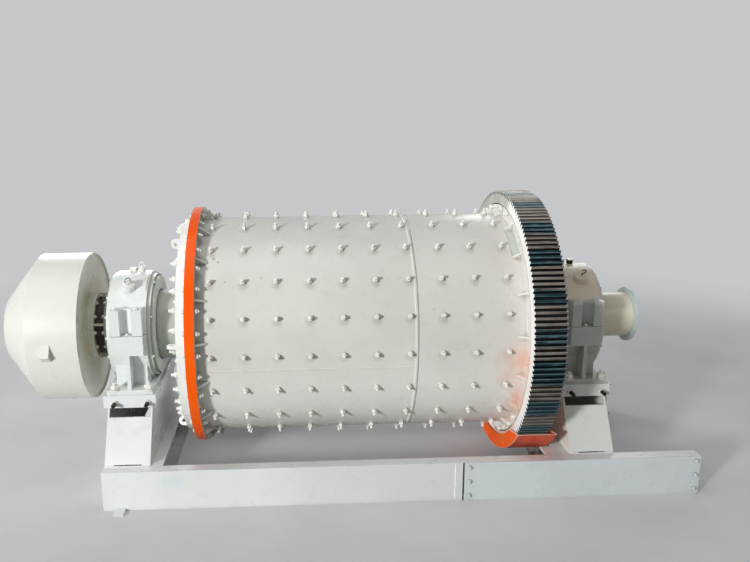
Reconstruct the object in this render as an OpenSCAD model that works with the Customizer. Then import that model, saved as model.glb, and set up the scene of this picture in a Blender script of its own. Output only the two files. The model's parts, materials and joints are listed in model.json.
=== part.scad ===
// Grinding mill on a steel base, in millimetres.
// The mill turns about an axis along X. The feed end is at -X and the geared discharge end at +X.
// Places along the mill are measured from the shell's feed end and moved to the middle at the end.

/* [Shell] */
// Outer diameter of the shell
shell_d = 1500; // [1300:10:1700]
// Thickness of the shell plate
shell_t = 16; // [10:1:30]
// Length of the shell, joint to joint
shell_l = 2196; // [1960:2:2560]
// Length of the first shell course, up to the round seam
course_l = 1439; // [1200:1:1600]
// Thickness of the flange on each end of the shell
flange_t = 60; // [30:1:80]
// Height of the feed flange above the shell
feed_flange_h = 73.5; // [50:0.5:90]
// Height of the drive flange above the shell
drive_flange_h = 65; // [50:1:90]
// Number of stiffening ribs behind each flange
flange_ribs = 18; // [8:1:24]
// Angle from the top round to the first flange rib
rib_start = 5; // [0:1:20]
// Length of a feed flange rib along the shell
rib_l = 70; // [40:1:100]
// Length of a drive flange rib along the shell
drive_rib_l = 54; // [40:1:100]
// Thickness of a flange rib
rib_t = 12; // [6:1:20]
// Height of a flange rib's blunt tip above the shell
rib_tip_h = 8; // [4:1:16]
// Step from a flange's edge down to the top of its ribs
rib_step = 8; // [4:1:20]

/* [Heads and trunnions] */
// Step from the shell's outer face in to the head's rim
head_step = 8; // [4:1:20]
// Thickness of a head at its rim
head_t = 65; // [45:1:90]
// Width of the flat rim on the outside of a head
head_rim_w = 60; // [40:1:80]
// Bevel between a head's flat rim and its cone
head_bevel = 20; // [5:1:30]
// Distance from a head's joint out to the face of its hub
hub_l = 115; // [90:1:150]
// Diameter of a head's hub
hub_d = 560; // [530:10:700]
// Bevel on the edge of a hub
hub_bevel = 10; // [2:1:15]
// Diameter of the neck between a head and its bearing
neck_d = 490; // [430:2:492]
// Diameter of the journal in the bearing
journal_d = 500; // [496:2:540]
// Length of the journal
journal_l = 200; // [150:2:230]
// Diameter of the way through a trunnion
trunnion_bore_d = 300; // [240:2:340]
// Diameter of a trunnion past its bearing
tail_d = 430; // [390:2:440]
// Diameter of the flange on a trunnion's outer end
end_flange_d = 454; // [446:2:466]
// Thickness of the flange on a trunnion's outer end
end_flange_t = 28; // [16:1:40]
// Distance from a bearing's centre to its trunnion's outer end
trunnion_reach = 195; // [185:1:240]

/* [Girth gear] */
// Number of teeth on the whole gear
gear_teeth = 158; // [120:2:180]
// Width of the gear's face
gear_w = 204; // [150:2:240]
// Height of a tooth
tooth_h = 25; // [15:0.5:32]
// Thickness of the rim under the teeth
gear_rim_t = 61; // [40:1:70]
// Step from the drive flange out to the inside of the rim
gear_lip = 8; // [4:1:20]
// Thickness of the gear's bolting web
gear_web_t = 40; // [25:1:60]

/* [Feeder] */
// Diameter of the feeder drum
feeder_d = 1032; // [900:2:1160]
// Length of the feeder drum without its cone
feeder_l = 334; // [260:2:420]
// Length of the feeder's cone
cone_l = 228; // [160:2:300]
// Diameter of the cone's small end
cone_end_d = 480; // [440:2:560]
// Diameter of the feed inlet
inlet_d = 400; // [340:2:430]
// Thickness of the feeder's plates
feeder_t = 10; // [6:1:16]
// How far the drum's rim stands past its back plate
feeder_rim_h = 12; // [6:1:30]
// Diameter of the feeder's hub flange
feeder_hub_d = 470; // [450:2:540]
// Length of the feeder's hub flange
feeder_hub_l = 47; // [30:1:70]
// Length of the neck between the feeder and the trunnion
feeder_neck_l = 68; // [50:1:100]
// Diameter of that neck
feeder_neck_d = 394; // [350:2:400]
// Number of ribs along that neck
neck_ribs = 4; // [3:1:8]
// Angle from the top round to the first of those ribs
neck_rib_start = 75; // [0:1:90]
// Thickness of those ribs
neck_rib_t = 18; // [8:1:24]
// Width of the feeder's lug along the axis
feeder_lug_w = 57; // [40:1:90]
// Height of the lug's ridge above the drum
feeder_lug_h = 45; // [25:1:60]
// Distance from the drum's rim to the middle of the lug
feeder_lug_x = 206; // [100:1:230]
// Angle of the lug's ridge below level
feeder_lug_angle = 7; // [0:1:40]
// Angle covered by the lug's long face, above its ridge
feeder_lug_rise = 8; // [6:0.5:15]
// Angle covered by the lug's short face, below its ridge
feeder_lug_drop = 5; // [3:0.5:12]

/* [Discharge spout] */
// Diameter of the spout
spout_d = 320; // [300:2:400]
// Thickness of the spout's wall
spout_t = 12; // [6:1:20]
// Length of the spout past the trunnion
spout_l = 268; // [200:1:340]
// Diameter of the spout's outer flange
spout_flange_d = 392; // [380:2:460]
// Diameter of the spout's joint flange
spout_joint_d = 420; // [410:2:470]
// Thickness of the spout's flanges
spout_flange_t = 16; // [10:1:24]

/* [Bearings] */
// Distance from the shell's feed end to the feed bearing's centre
feed_bearing_gap = 435; // [400:1:520]
// Distance from the shell's other end to the discharge bearing's centre
drive_bearing_gap = 454; // [430:1:540]
// Diameter of the round housing
housing_d = 770; // [720:2:840]
// Width of the round housing along the axis
housing_w = 240; // [236:2:280]
// Height of the housing's joint above the axis
joint_z = 30; // [10:1:60]
// Diameter of the outer cover
cover_d = 744; // [600:2:766]
// Thickness of the outer cover
cover_t = 22; // [10:1:30]
// Diameter of the inner cover's ring
ring_d = 690; // [560:2:716]
// Thickness of the inner cover's ring
ring_t = 17; // [8:1:24]
// Thickness of the inner cover's plate
ring_plate_t = 28; // [12:1:34]
// Width of the bolting shoulders along the axis
shoulder_w = 210; // [160:2:230]
// Distance from the axis to the shoulders' outer face
shoulder_y = 430; // [425:1:470]
// Height of the cap's shoulders
shoulder_h = 175; // [120:1:220]
// Height of the base's blocks under the joint
block_h = 134; // [80:1:160]
// Width of the recess in a shoulder
recess_w = 82; // [40:2:100]
// Depth of the recess in a shoulder
recess_depth = 60; // [30:1:80]
// Distance from the axis down to the underside of the foot
bearing_drop = 370; // [360:1:420]
// Thickness of the foot
foot_t = 30; // [20:1:50]
// Width of the foot along the axis
foot_w = 304; // [280:2:340]
// Length of the foot across the axis
foot_l = 880; // [860:10:910]
// Distance from the axis to the side of the box under the housing
stand_y = 330; // [300:5:350]
// Thickness of the standing ribs on the bearing's base
stand_rib_t = 25; // [12:1:40]
// Diameter of the inspection boss on a cap
boss_d = 80; // [50:2:100]
// Height of the inspection boss
boss_h = 45; // [20:1:60]
// Angle of the inspection boss above level
boss_angle = 54; // [35:1:65]
// Diameter of the breather on a cap
breather_d = 44; // [30:1:60]
// Height of the breather
breather_h = 34; // [20:1:50]
// Distance from a bearing's centre to its breather, along the axis
breather_x = 48; // [20:1:80]

/* [Pedestals] */
// Width of a sole plate along the axis
sole_w = 348; // [340:2:400]
// Length of a sole plate across the axis
sole_l = 920; // [915:5:1000]
// Thickness of a sole plate
sole_t = 85; // [50:1:110]
// Width of a pedestal along the axis
pedestal_w = 296; // [260:2:330]
// Length of a pedestal's top across the axis
pedestal_top_l = 900; // [800:10:910]
// Thickness of a pedestal's plates
pedestal_t = 12; // [8:1:20]
// Height of the open slot under the sole plate
slot_h = 58; // [40:1:110]
// Length of the drain slit at the foot of a sloping plate
slit_l = 180; // [100:5:230]
// Height of that slit
slit_h = 10; // [5:1:20]

/* [Base] */
// Depth of the base's channels
base_h = 268; // [220:2:300]
// Width of the whole base across the axis
base_w = 1490; // [1440:10:1700]
// Width of a channel's flanges
channel_w = 93; // [70:1:110]
// Thickness of a channel's web
web_t = 10; // [6:1:14]
// Thickness of a channel's flanges
channel_t = 14; // [8:1:20]
// Length of the base past the feed pedestal
base_end_l = 5; // [2:1:60]
// Length of the base past the discharge pedestal
base_end_r = 553; // [300:1:700]
// Distance from the shell's feed end to the base's splice
splice_x = 1759; // [1500:1:1900]
// Width of the splice strip
splice_w = 48; // [40:1:90]
// Thickness of the splice strip and the bolted cover plate
splice_t = 8; // [5:1:12]
// Gap between the splice strip and the cover plate
splice_gap = 12; // [4:1:20]
// Width of an anchor lug on the floor
lug_w = 64; // [40:2:100]
// Length of an anchor lug
lug_l = 78; // [40:2:120]
// Thickness of an anchor lug
lug_t = 14; // [8:1:24]
// Distance from the base's feed end to the anchor lug
lug_x = 112; // [60:2:200]
// Length of a corner plate along the base
corner_l = 81; // [60:1:150]
// Reach of a corner plate across the base
corner_y = 128; // [60:1:130]

/* [Gear guard] */
// Clear space between the teeth and the guard
guard_gap = 25; // [15:1:40]
// Thickness of the guard's sheet
guard_t = 6; // [4:1:12]
// Space between the gear's face and the guard's side towards the shell
guard_side_gap = 8; // [6:1:20]
// Space between the gear's other face and the guard's outer side
guard_far_gap = 38; // [10:1:50]
// Height of the guard's side plates inside the wrap
guard_side_h = 92; // [60:1:104]
// Angle of the guard's outer edges below level
guard_angle = 41; // [30:1:55]
// Angle by which the guard's ends slope down inwards
guard_end_slope = 10.5; // [0:0.5:25]
// Clear height between the guard and the floor
guard_floor_gap = 116; // [90:1:160]
// Thickness of a guard leg along the axis
guard_leg_t = 15; // [6:1:25]
// Width of a guard leg across the axis
guard_leg_w = 60; // [30:1:80]
// Distance from the gear's face towards the shell to a guard leg
guard_leg_x = 174; // [60:1:200]
// Distance from the axis to a guard leg, across the mill
guard_leg_y = 420; // [340:5:470]
// Thickness of the bar under a guard leg
guard_foot_t = 10; // [6:1:16]

/* [Hidden] */

$fn = 96;
paint = [0.86, 0.87, 0.85];
dark_steel = [0.2, 0.2, 0.21];
primer = [0.82, 0.27, 0.13];
orange = [0.95, 0.35, 0.1];
eps = 1;
run_fit = 0.1;
run_gap = 7;
seat_gap = 0.3;
shoulder_root = 20;
boss_sink = 12;

shell_r = shell_d / 2;
shell_in_r = shell_r - shell_t;
feed_flange_r = shell_r + feed_flange_h;
drive_flange_r = shell_r + drive_flange_h;
head_r = shell_r - head_step;
journal_r = journal_d / 2;
neck_r = neck_d / 2;
tail_r = tail_d / 2;
end_flange_r = end_flange_d / 2;
bore_r = trunnion_bore_d / 2;

gear_in_r = drive_flange_r + gear_lip;
gear_root_r = gear_in_r + gear_rim_t;
gear_tip_r = gear_root_r + tooth_h;
gear_x = shell_l - flange_t;
tooth_pitch = 360 / gear_teeth;
tooth_root_share = 0.4;
tooth_tip_share = 0.16;

guard_in_r = gear_tip_r + guard_gap;
guard_out_r = guard_in_r + guard_t;
guard_x0 = gear_x - guard_side_gap - guard_t;
guard_x1 = gear_x + gear_w + guard_far_gap + guard_t;
axis_h = guard_out_r + guard_floor_gap;

feed_bearing_x = -feed_bearing_gap;
drive_bearing_x = shell_l + drive_bearing_gap;
foot_z = -bearing_drop;
sole_z = foot_z - sole_t;
housing_bore_r = journal_r + run_fit;
cap_bore_r = journal_r + run_gap;
inner_cover_bore_r = neck_r + run_gap;
outer_cover_bore_r = tail_r + run_gap;
shoulder_in_y = cap_bore_r + shoulder_root;

feed_end_x = feed_bearing_x - trunnion_reach;
drive_end_x = drive_bearing_x + trunnion_reach;
feeder_hub_x = feed_end_x - feeder_neck_l;
feeder_plate_x = feeder_hub_x - feeder_hub_l;
feeder_x = feeder_plate_x + feeder_rim_h;
cone_x = feeder_x - feeder_l;
feeder_tip_x = cone_x - cone_l;
spout_tip_x = drive_end_x + spout_l;
spout_bore_r = spout_d / 2 - spout_t;
floor_z = -axis_h;
base_top_z = floor_z + base_h;
base_y = base_w / 2;
beam_in_y = base_y - channel_w;
base_x0 = feed_bearing_x - pedestal_w / 2 - base_end_l;
base_x1 = drive_bearing_x + pedestal_w / 2 + base_end_r;
drive_cross_x = drive_bearing_x - pedestal_w / 2 + pedestal_t - channel_w;
mid_x = (min(feeder_tip_x, base_x0) + max(spout_tip_x, base_x1)) / 2;

module place() {
    translate([-mid_x, 0, axis_h]) children();
}

// A round bar or ring along the mill's axis, from x0 to x1.
module ring(x0, x1, r_out, r_in = 0) {
    translate([x0, 0, 0]) rotate([0, 90, 0]) difference() {
        cylinder(h = x1 - x0, r = r_out);
        if (r_in > 0) translate([0, 0, -eps]) cylinder(h = x1 - x0 + 2 * eps, r = r_in);
    }
}

// A turned shape about the mill's axis, from an outline of [x, radius] points.
module turned(points) {
    rotate([0, 90, 0]) rotate_extrude() polygon([for (p = points) [p[1], p[0]]]);
}

// A straight block between two corners.
module block(low, high) {
    translate(low) cube(high - low);
}

// Repeats its children around the mill's axis.
module around(count, start = 0) {
    for (i = [0 : count - 1]) rotate([start + i * 360 / count, 0, 0]) children();
}

// Repeats its children on the front and the rear side.
module both_sides() {
    for (side = [0, 1]) mirror([0, side, 0]) children();
}

module shell_feed_course() {
    color(paint) place() ring(0, course_l, shell_r, shell_in_r);
}

module shell_drive_course() {
    color(paint) place() ring(course_l, shell_l, shell_r, shell_in_r);
}

module feed_flange() {
    color(orange) place() ring(0, flange_t, feed_flange_r, shell_r);
}

module drive_flange() {
    color(paint) place() ring(gear_x, shell_l, drive_flange_r, shell_r);
}

// Triangular ribs from a flange's face at x down to the shell, reaching l along it.
module flange_rib_set(x, l, h) {
    foot_r = shell_r - shell_t / 4;
    around(flange_ribs, rib_start) translate([x, rib_t / 2, 0]) rotate([90, 0, 0]) linear_extrude(rib_t)
        polygon([[0, foot_r], [l, foot_r], [l, shell_r + rib_tip_h], [0, shell_r + h - rib_step]]);
}

module rib_trim() {
    difference() {
        children();
        ring(-eps, shell_l + eps, shell_r);
    }
}

module feed_flange_ribs() {
    color(paint) place() rib_trim() flange_rib_set(flange_t, rib_l, feed_flange_h);
}

module drive_flange_ribs() {
    color(paint) place() rib_trim() flange_rib_set(gear_x, -drive_rib_l, drive_flange_h);
}

// A dished end casting with its joint at x = 0, growing towards +X, bored for the trunnion.
module head_shape() {
    rim_in_r = head_r - head_rim_w;
    turned([[0, bore_r], [0, head_r], [head_t, head_r], [head_t, rim_in_r],
        [head_t - head_bevel, rim_in_r - head_bevel], [hub_l - hub_bevel, hub_d / 2],
        [hub_l, hub_d / 2 - hub_bevel], [hub_l, bore_r]]);
}

// The hollow journal from the hub's face to the trunnion's end flange, with the bearing at gap.
module trunnion_shape(gap) {
    journal_x = gap - journal_l / 2;
    end_x = gap + trunnion_reach;
    turned([[hub_l, bore_r], [hub_l, neck_r], [journal_x, neck_r], [journal_x, journal_r],
        [journal_x + journal_l, journal_r], [journal_x + journal_l, tail_r], [end_x - end_flange_t, tail_r],
        [end_x - end_flange_t, end_flange_r], [end_x, end_flange_r], [end_x, bore_r]]);
}

module feed_head() {
    color(paint) place() mirror([1, 0, 0]) head_shape();
}

module discharge_head() {
    color(paint) place() translate([shell_l, 0, 0]) head_shape();
}

module feed_trunnion() {
    color(paint) place() mirror([1, 0, 0]) trunnion_shape(feed_bearing_gap);
}

module discharge_trunnion() {
    color(paint) place() translate([shell_l, 0, 0]) trunnion_shape(drive_bearing_gap);
}

function on_circle(r, a) = [r * cos(a), r * sin(a)];

// Outline of one half of the toothed rim, with a tooth in the middle of the half.
function half_gear_outline() = concat(
    [on_circle(gear_root_r, -90)],
    [for (i = [0 : gear_teeth / 2 - 1]) let (a = -90 + (i + 0.5) * tooth_pitch) each [
        on_circle(gear_root_r, a - tooth_pitch * tooth_root_share),
        on_circle(gear_tip_r, a - tooth_pitch * tooth_tip_share),
        on_circle(gear_tip_r, a + tooth_pitch * tooth_tip_share),
        on_circle(gear_root_r, a + tooth_pitch * tooth_root_share)]],
    [on_circle(gear_root_r, 90)]
);

// Half of the girth gear on the front side: the toothed rim around the drive flange and the web behind it.
module half_gear() {
    translate([gear_x, 0, 0]) rotate([0, 90, 0]) rotate([0, 0, -90]) difference() {
        linear_extrude(gear_w) polygon(half_gear_outline());
        translate([0, 0, -eps]) cylinder(h = flange_t + eps, r = gear_in_r);
        translate([0, 0, flange_t + gear_web_t]) cylinder(h = gear_w, r = gear_in_r);
        cylinder(h = gear_w, r = head_r + seat_gap);
    }
}

module girth_gear_front_half() {
    color(dark_steel) place() half_gear();
}

module girth_gear_rear_half() {
    color(dark_steel) place() mirror([0, 1, 0]) half_gear();
}

module feeder_drum() {
    color(paint) place() ring(cone_x, feeder_x, feeder_d / 2, feeder_d / 2 - feeder_t);
}

module feeder_cone() {
    color(paint) place() turned([[feeder_tip_x, cone_end_d / 2 - feeder_t], [feeder_tip_x, cone_end_d / 2],
        [cone_x, feeder_d / 2], [cone_x, feeder_d / 2 - feeder_t]]);
}

module feeder_inlet_ring() {
    color(paint) place() ring(feeder_tip_x, feeder_tip_x + feeder_t, cone_end_d / 2 - feeder_t, inlet_d / 2);
}

module feeder_back_plate() {
    color(paint) place() ring(feeder_plate_x - feeder_t, feeder_plate_x, feeder_d / 2 - feeder_t, bore_r);
}

module feeder_hub_flange() {
    color(paint) place() turned([[feeder_plate_x, bore_r], [feeder_plate_x, feeder_hub_d / 2 - 8],
        [feeder_hub_x - 12, feeder_hub_d / 2 - 8], [feeder_hub_x - 12, feeder_hub_d / 2],
        [feeder_hub_x, feeder_hub_d / 2], [feeder_hub_x, bore_r]]);
}

// The short neck between the feeder and the trunnion, with flat ribs along it.
module feeder_neck() {
    color(dark_steel) place() union() {
        ring(feeder_hub_x, feed_end_x, feeder_neck_d / 2, bore_r);
        around(neck_ribs, neck_rib_start) block([feeder_hub_x, -neck_rib_t / 2, feeder_neck_d / 2 - neck_rib_t],
            [feed_end_x, neck_rib_t / 2, end_flange_r]);
    }
}

// A point of the YZ plane on the front side, at an angle below level.
function on_front(r, a) = [-r * cos(a), -r * sin(a)];

// Wedge on the front of the feeder drum: a long face above its ridge and a short face below.
module feeder_lug() {
    drum_r = feeder_d / 2;
    root_r = drum_r - feeder_t;
    top_a = feeder_lug_angle - feeder_lug_rise;
    low_a = feeder_lug_angle + feeder_lug_drop;
    color(paint) place() difference() {
        translate([feeder_x - feeder_lug_x - feeder_lug_w / 2, 0, 0]) rotate([90, 0, 90])
            linear_extrude(feeder_lug_w) polygon([on_front(root_r, top_a), on_front(drum_r, top_a),
                on_front(drum_r + feeder_lug_h, feeder_lug_angle), on_front(drum_r, low_a),
                on_front(root_r, low_a)]);
        ring(cone_x, feeder_x, drum_r);
    }
}

module spout() {
    color(paint) place()
        ring(drive_end_x + spout_flange_t, spout_tip_x - spout_flange_t, spout_d / 2, spout_bore_r);
}

module spout_joint_flange() {
    color(paint) place() ring(drive_end_x, drive_end_x + spout_flange_t, spout_joint_d / 2, spout_bore_r);
}

module spout_end_flange() {
    color(paint) place() ring(spout_tip_x - spout_flange_t, spout_tip_x, spout_flange_d / 2, spout_bore_r);
}

// Lower part of a bearing about its own centre: round housing, blocks, standing ribs and foot.
module bearing_base() {
    foot_top = foot_z + foot_t;
    difference() {
        union() {
            intersection() {
                ring(-housing_w / 2, housing_w / 2, housing_d / 2);
                block([-housing_w, -housing_d, foot_top], [housing_w, housing_d, joint_z]);
            }
            block([-shoulder_w / 2, -stand_y, foot_top], [shoulder_w / 2, stand_y, 0]);
            block([-foot_w / 2, -foot_l / 2, foot_z], [foot_w / 2, foot_l / 2, foot_top]);
            both_sides() block([-shoulder_w / 2, shoulder_in_y, joint_z - block_h],
                [shoulder_w / 2, shoulder_y, joint_z]);
            both_sides() block([-stand_rib_t / 2, stand_y - eps, foot_top],
                [stand_rib_t / 2, shoulder_y, joint_z - block_h]);
        }
        ring(-housing_w, housing_w, housing_bore_r);
        block([-housing_w, -housing_bore_r, 0], [housing_w, housing_bore_r, joint_z + eps]);
    }
}

// Upper part of a bearing about its own centre, with its recessed bolting shoulders.
module bearing_cap() {
    shoulder_top = joint_z + shoulder_h;
    difference() {
        union() {
            intersection() {
                ring(-housing_w / 2, housing_w / 2, housing_d / 2);
                block([-housing_w, -housing_d, joint_z], [housing_w, housing_d, housing_d]);
            }
            both_sides() block([-shoulder_w / 2, shoulder_in_y, joint_z],
                [shoulder_w / 2, shoulder_y, shoulder_top]);
        }
        ring(-housing_w, housing_w, cap_bore_r);
        both_sides() block([-recess_w / 2, shoulder_y - recess_depth, joint_z - eps],
            [recess_w / 2, shoulder_y + eps, shoulder_top + eps]);
    }
}

// Cuts a cover off flat just above the foot.
module above_foot() {
    difference() {
        children();
        block([-foot_w, -housing_d, -housing_d], [foot_w, housing_d, foot_z + foot_t + seat_gap]);
    }
}

// Cover on a bearing's outer side, towards -X of its own centre.
module outer_cover() {
    above_foot() ring(-housing_w / 2 - cover_t, -housing_w / 2, cover_d / 2, outer_cover_bore_r);
}

// Stepped cover on the side towards the mill, at +X of its own centre.
module inner_cover() {
    plate_r = (housing_d + ring_d) / 4;
    face_x = housing_w / 2;
    step_x = face_x + ring_plate_t;
    end_x = step_x + ring_t;
    above_foot() turned([[face_x, inner_cover_bore_r], [face_x, plate_r], [step_x, plate_r],
        [step_x, ring_d / 2], [end_x, ring_d / 2], [end_x, inner_cover_bore_r]]);
}

module at_feed_bearing() {
    place() translate([feed_bearing_x, 0, 0]) children();
}

module at_drive_bearing() {
    place() translate([drive_bearing_x, 0, 0]) mirror([1, 0, 0]) children();
}

module feed_bearing_base() {
    color(paint) at_feed_bearing() bearing_base();
}

module feed_bearing_cap() {
    color(paint) at_feed_bearing() bearing_cap();
}

module feed_bearing_outer_cover() {
    color(paint) at_feed_bearing() outer_cover();
}

module feed_bearing_inner_cover() {
    color(paint) at_feed_bearing() inner_cover();
}

module discharge_bearing_base() {
    color(paint) at_drive_bearing() bearing_base();
}

module discharge_bearing_cap() {
    color(paint) at_drive_bearing() bearing_cap();
}

module discharge_bearing_outer_cover() {
    color(paint) at_drive_bearing() outer_cover();
}

module discharge_bearing_inner_cover() {
    color(paint) at_drive_bearing() inner_cover();
}

// Round inspection boss on the front of a cap and a small breather on its top.
module fittings() {
    difference() {
        union() {
            rotate([90 - boss_angle, 0, 0]) translate([0, 0, housing_d / 2 - boss_sink])
                cylinder(h = boss_h + boss_sink, d = boss_d);
            translate([breather_x, 0, housing_d / 2 - boss_sink])
                cylinder(h = breather_h + boss_sink, d = breather_d);
        }
        ring(-housing_w, housing_w, housing_d / 2);
    }
}

module cap_fittings() {
    color(paint) {
        at_feed_bearing() fittings();
        at_drive_bearing() fittings();
    }
}

module sole_plate() {
    block([-sole_w / 2, -sole_l / 2, sole_z], [sole_w / 2, sole_l / 2, foot_z]);
}

module feed_sole_plate() {
    color(paint) at_feed_bearing() sole_plate();
}

module discharge_sole_plate() {
    color(paint) at_drive_bearing() sole_plate();
}

// A hollow pedestal: two side plates and two sloping plates with an open slot at their top.
module pedestal() {
    top_y = pedestal_top_l / 2;
    bottom_y = beam_in_y;
    slot_z = sole_z - slot_h;
    outline = [[-bottom_y, base_top_z], [bottom_y, base_top_z], [top_y, sole_z], [-top_y, sole_z]];
    side_x = pedestal_w / 2;
    difference() {
        translate([-side_x, 0, 0]) rotate([90, 0, 90]) linear_extrude(pedestal_w) polygon(outline);
        translate([-side_x + pedestal_t, 0, 0]) rotate([90, 0, 90]) linear_extrude(pedestal_w - 2 * pedestal_t)
            polygon([[-bottom_y + pedestal_t, base_top_z - eps], [bottom_y - pedestal_t, base_top_z - eps],
                [top_y - pedestal_t, sole_z + eps], [-top_y + pedestal_t, sole_z + eps]]);
        block([-side_x + pedestal_t, -bottom_y, slot_z], [side_x - pedestal_t, bottom_y, sole_z + eps]);
        block([-slit_l / 2, -base_y, base_top_z - eps], [slit_l / 2, base_y, base_top_z + slit_h]);
    }
}

module feed_pedestal() {
    color(paint) at_feed_bearing() pedestal();
}

module discharge_pedestal() {
    color(paint) at_drive_bearing() pedestal();
}

// A channel along X with its web on the outside, on the front side.
module side_channel(web_y) {
    difference() {
        block([base_x0, -web_y, floor_z], [base_x1, -beam_in_y, base_top_z]);
        block([base_x0 - eps, -web_y + web_t, floor_z + channel_t], [base_x1 + eps, 0, base_top_z - channel_t]);
    }
}

module base_front_beam() {
    color(paint) place() side_channel(base_y - splice_t);
}

module base_rear_beam() {
    color(paint) place() mirror([0, 1, 0]) side_channel(base_y - splice_t);
}

module base_splice_strips() {
    color(paint) place() both_sides() block([splice_x - splice_w, base_y - splice_t, floor_z],
        [splice_x, base_y, base_top_z]);
}

module base_cover_plate() {
    color(paint) place() block([splice_x + splice_gap, -base_y, floor_z],
        [base_x1, -base_y + splice_t, base_top_z]);
}

// A channel across the base between the side channels, with its web at x and flanges towards +X.
module cross_channel(x) {
    difference() {
        block([x, -beam_in_y, floor_z], [x + channel_w, beam_in_y, base_top_z]);
        block([x + web_t, -base_w, floor_z + channel_t], [x + channel_w + eps, base_w, base_top_z - channel_t]);
    }
}

// The pair under a pedestal, about its bearing's centre, with the mill towards +X.
module cross_pair() {
    cross_channel(-pedestal_w / 2);
    cross_channel(pedestal_w / 2 - pedestal_t);
}

module feed_cross_members() {
    color(paint) at_feed_bearing() cross_pair();
}

module discharge_cross_members() {
    color(paint) at_drive_bearing() cross_pair();
}

// Flat plates in the corners between the side channels and the discharge pedestal's cross member.
module base_corner_plates() {
    color(paint) place() both_sides()
        block([drive_cross_x - corner_l, beam_in_y - corner_y, base_top_z - channel_t],
            [drive_cross_x, beam_in_y, base_top_z]);
}

module anchor_lugs() {
    color(paint) place() both_sides() block([base_x0 + lug_x - lug_w / 2, base_y - splice_t, floor_z],
        [base_x0 + lug_x + lug_w / 2, base_y - splice_t + lug_l, floor_z + lug_t]);
}

// Sector of the guard in the YZ plane, below ends that slope down inwards from the guard's outer edges.
module guard_sector(r_out, r_in, x0, x1) {
    edge_y = guard_out_r * cos(guard_angle);
    edge_z = -guard_out_r * sin(guard_angle);
    slope_h = edge_y * tan(guard_end_slope);
    intersection() {
        ring(x0, x1, r_out, r_in);
        translate([x0, 0, 0]) rotate([90, 0, 90]) linear_extrude(x1 - x0) polygon([[0, edge_z - slope_h],
            [-2 * edge_y, edge_z + slope_h], [-2 * edge_y, -2 * guard_out_r],
            [2 * edge_y, -2 * guard_out_r], [2 * edge_y, edge_z + slope_h]]);
    }
}

module gear_guard() {
    side_in_r = guard_in_r - guard_side_h;
    color(primer) place() union() {
        guard_sector(guard_out_r, guard_in_r, guard_x0, guard_x1);
        guard_sector(guard_in_r + guard_t / 2, side_in_r, guard_x0, guard_x0 + guard_t);
        guard_sector(guard_in_r + guard_t / 2, side_in_r, guard_x1 - guard_t, guard_x1);
    }
}

// Two flat legs with tops along the guard's wrap, each on a foot bar that runs to the cross member.
module gear_guard_legs() {
    leg_x = gear_x + guard_leg_x;
    out_y = guard_leg_y + guard_leg_w / 2;
    in_y = guard_leg_y - guard_leg_w / 2;
    top_angle = asin(guard_leg_y / guard_out_r);
    mid_z = -guard_out_r * cos(top_angle) - seat_gap;
    rise = guard_leg_w / 2 * tan(top_angle);
    color(paint) place() both_sides() union() {
        translate([leg_x, 0, 0]) rotate([90, 0, 90]) linear_extrude(guard_leg_t)
            polygon([[-out_y, floor_z], [-in_y, floor_z], [-in_y, mid_z - rise], [-out_y, mid_z + rise]]);
        block([leg_x, -out_y, floor_z], [drive_cross_x, -in_y, floor_z + guard_foot_t]);
    }
}

shell_feed_course();
shell_drive_course();
feed_flange();
feed_flange_ribs();
drive_flange();
drive_flange_ribs();
feed_head();
discharge_head();
feed_trunnion();
discharge_trunnion();
girth_gear_front_half();
girth_gear_rear_half();
feeder_drum();
feeder_cone();
feeder_inlet_ring();
feeder_back_plate();
feeder_hub_flange();
feeder_neck();
feeder_lug();
spout();
spout_joint_flange();
spout_end_flange();
feed_bearing_base();
feed_bearing_cap();
feed_bearing_outer_cover();
feed_bearing_inner_cover();
discharge_bearing_base();
discharge_bearing_cap();
discharge_bearing_outer_cover();
discharge_bearing_inner_cover();
cap_fittings();
feed_sole_plate();
discharge_sole_plate();
feed_pedestal();
discharge_pedestal();
base_front_beam();
base_rear_beam();
base_splice_strips();
base_cover_plate();
feed_cross_members();
discharge_cross_members();
base_corner_plates();
anchor_lugs();
gear_guard();
gear_guard_legs();
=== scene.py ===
"""Looks of the grinding mill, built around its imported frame. Metres, with the mill's axis along X."""
import json
import math
import random

import bpy
from mathutils import Matrix, Vector


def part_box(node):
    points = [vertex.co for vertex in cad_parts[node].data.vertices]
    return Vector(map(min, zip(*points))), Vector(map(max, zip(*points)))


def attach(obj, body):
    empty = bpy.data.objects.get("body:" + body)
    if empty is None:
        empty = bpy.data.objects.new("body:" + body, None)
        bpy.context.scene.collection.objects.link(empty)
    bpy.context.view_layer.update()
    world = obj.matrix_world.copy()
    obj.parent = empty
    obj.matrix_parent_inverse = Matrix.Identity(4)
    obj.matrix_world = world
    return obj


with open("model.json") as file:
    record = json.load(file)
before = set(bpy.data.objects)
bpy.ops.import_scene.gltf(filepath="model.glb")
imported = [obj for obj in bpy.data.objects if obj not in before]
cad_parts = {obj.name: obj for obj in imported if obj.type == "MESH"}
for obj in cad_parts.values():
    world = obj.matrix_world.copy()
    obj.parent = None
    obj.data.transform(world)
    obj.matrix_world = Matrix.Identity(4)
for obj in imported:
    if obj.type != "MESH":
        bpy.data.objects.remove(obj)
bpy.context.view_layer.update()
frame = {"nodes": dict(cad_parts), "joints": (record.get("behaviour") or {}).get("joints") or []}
NODES = frame["nodes"]
AXIS = frame["joints"][0]["pos_m"][2]


def low(node):
    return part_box(node)[0]


def high(node):
    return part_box(node)[1]


def middle_x(node):
    return (low(node).x + high(node).x) / 2


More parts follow.
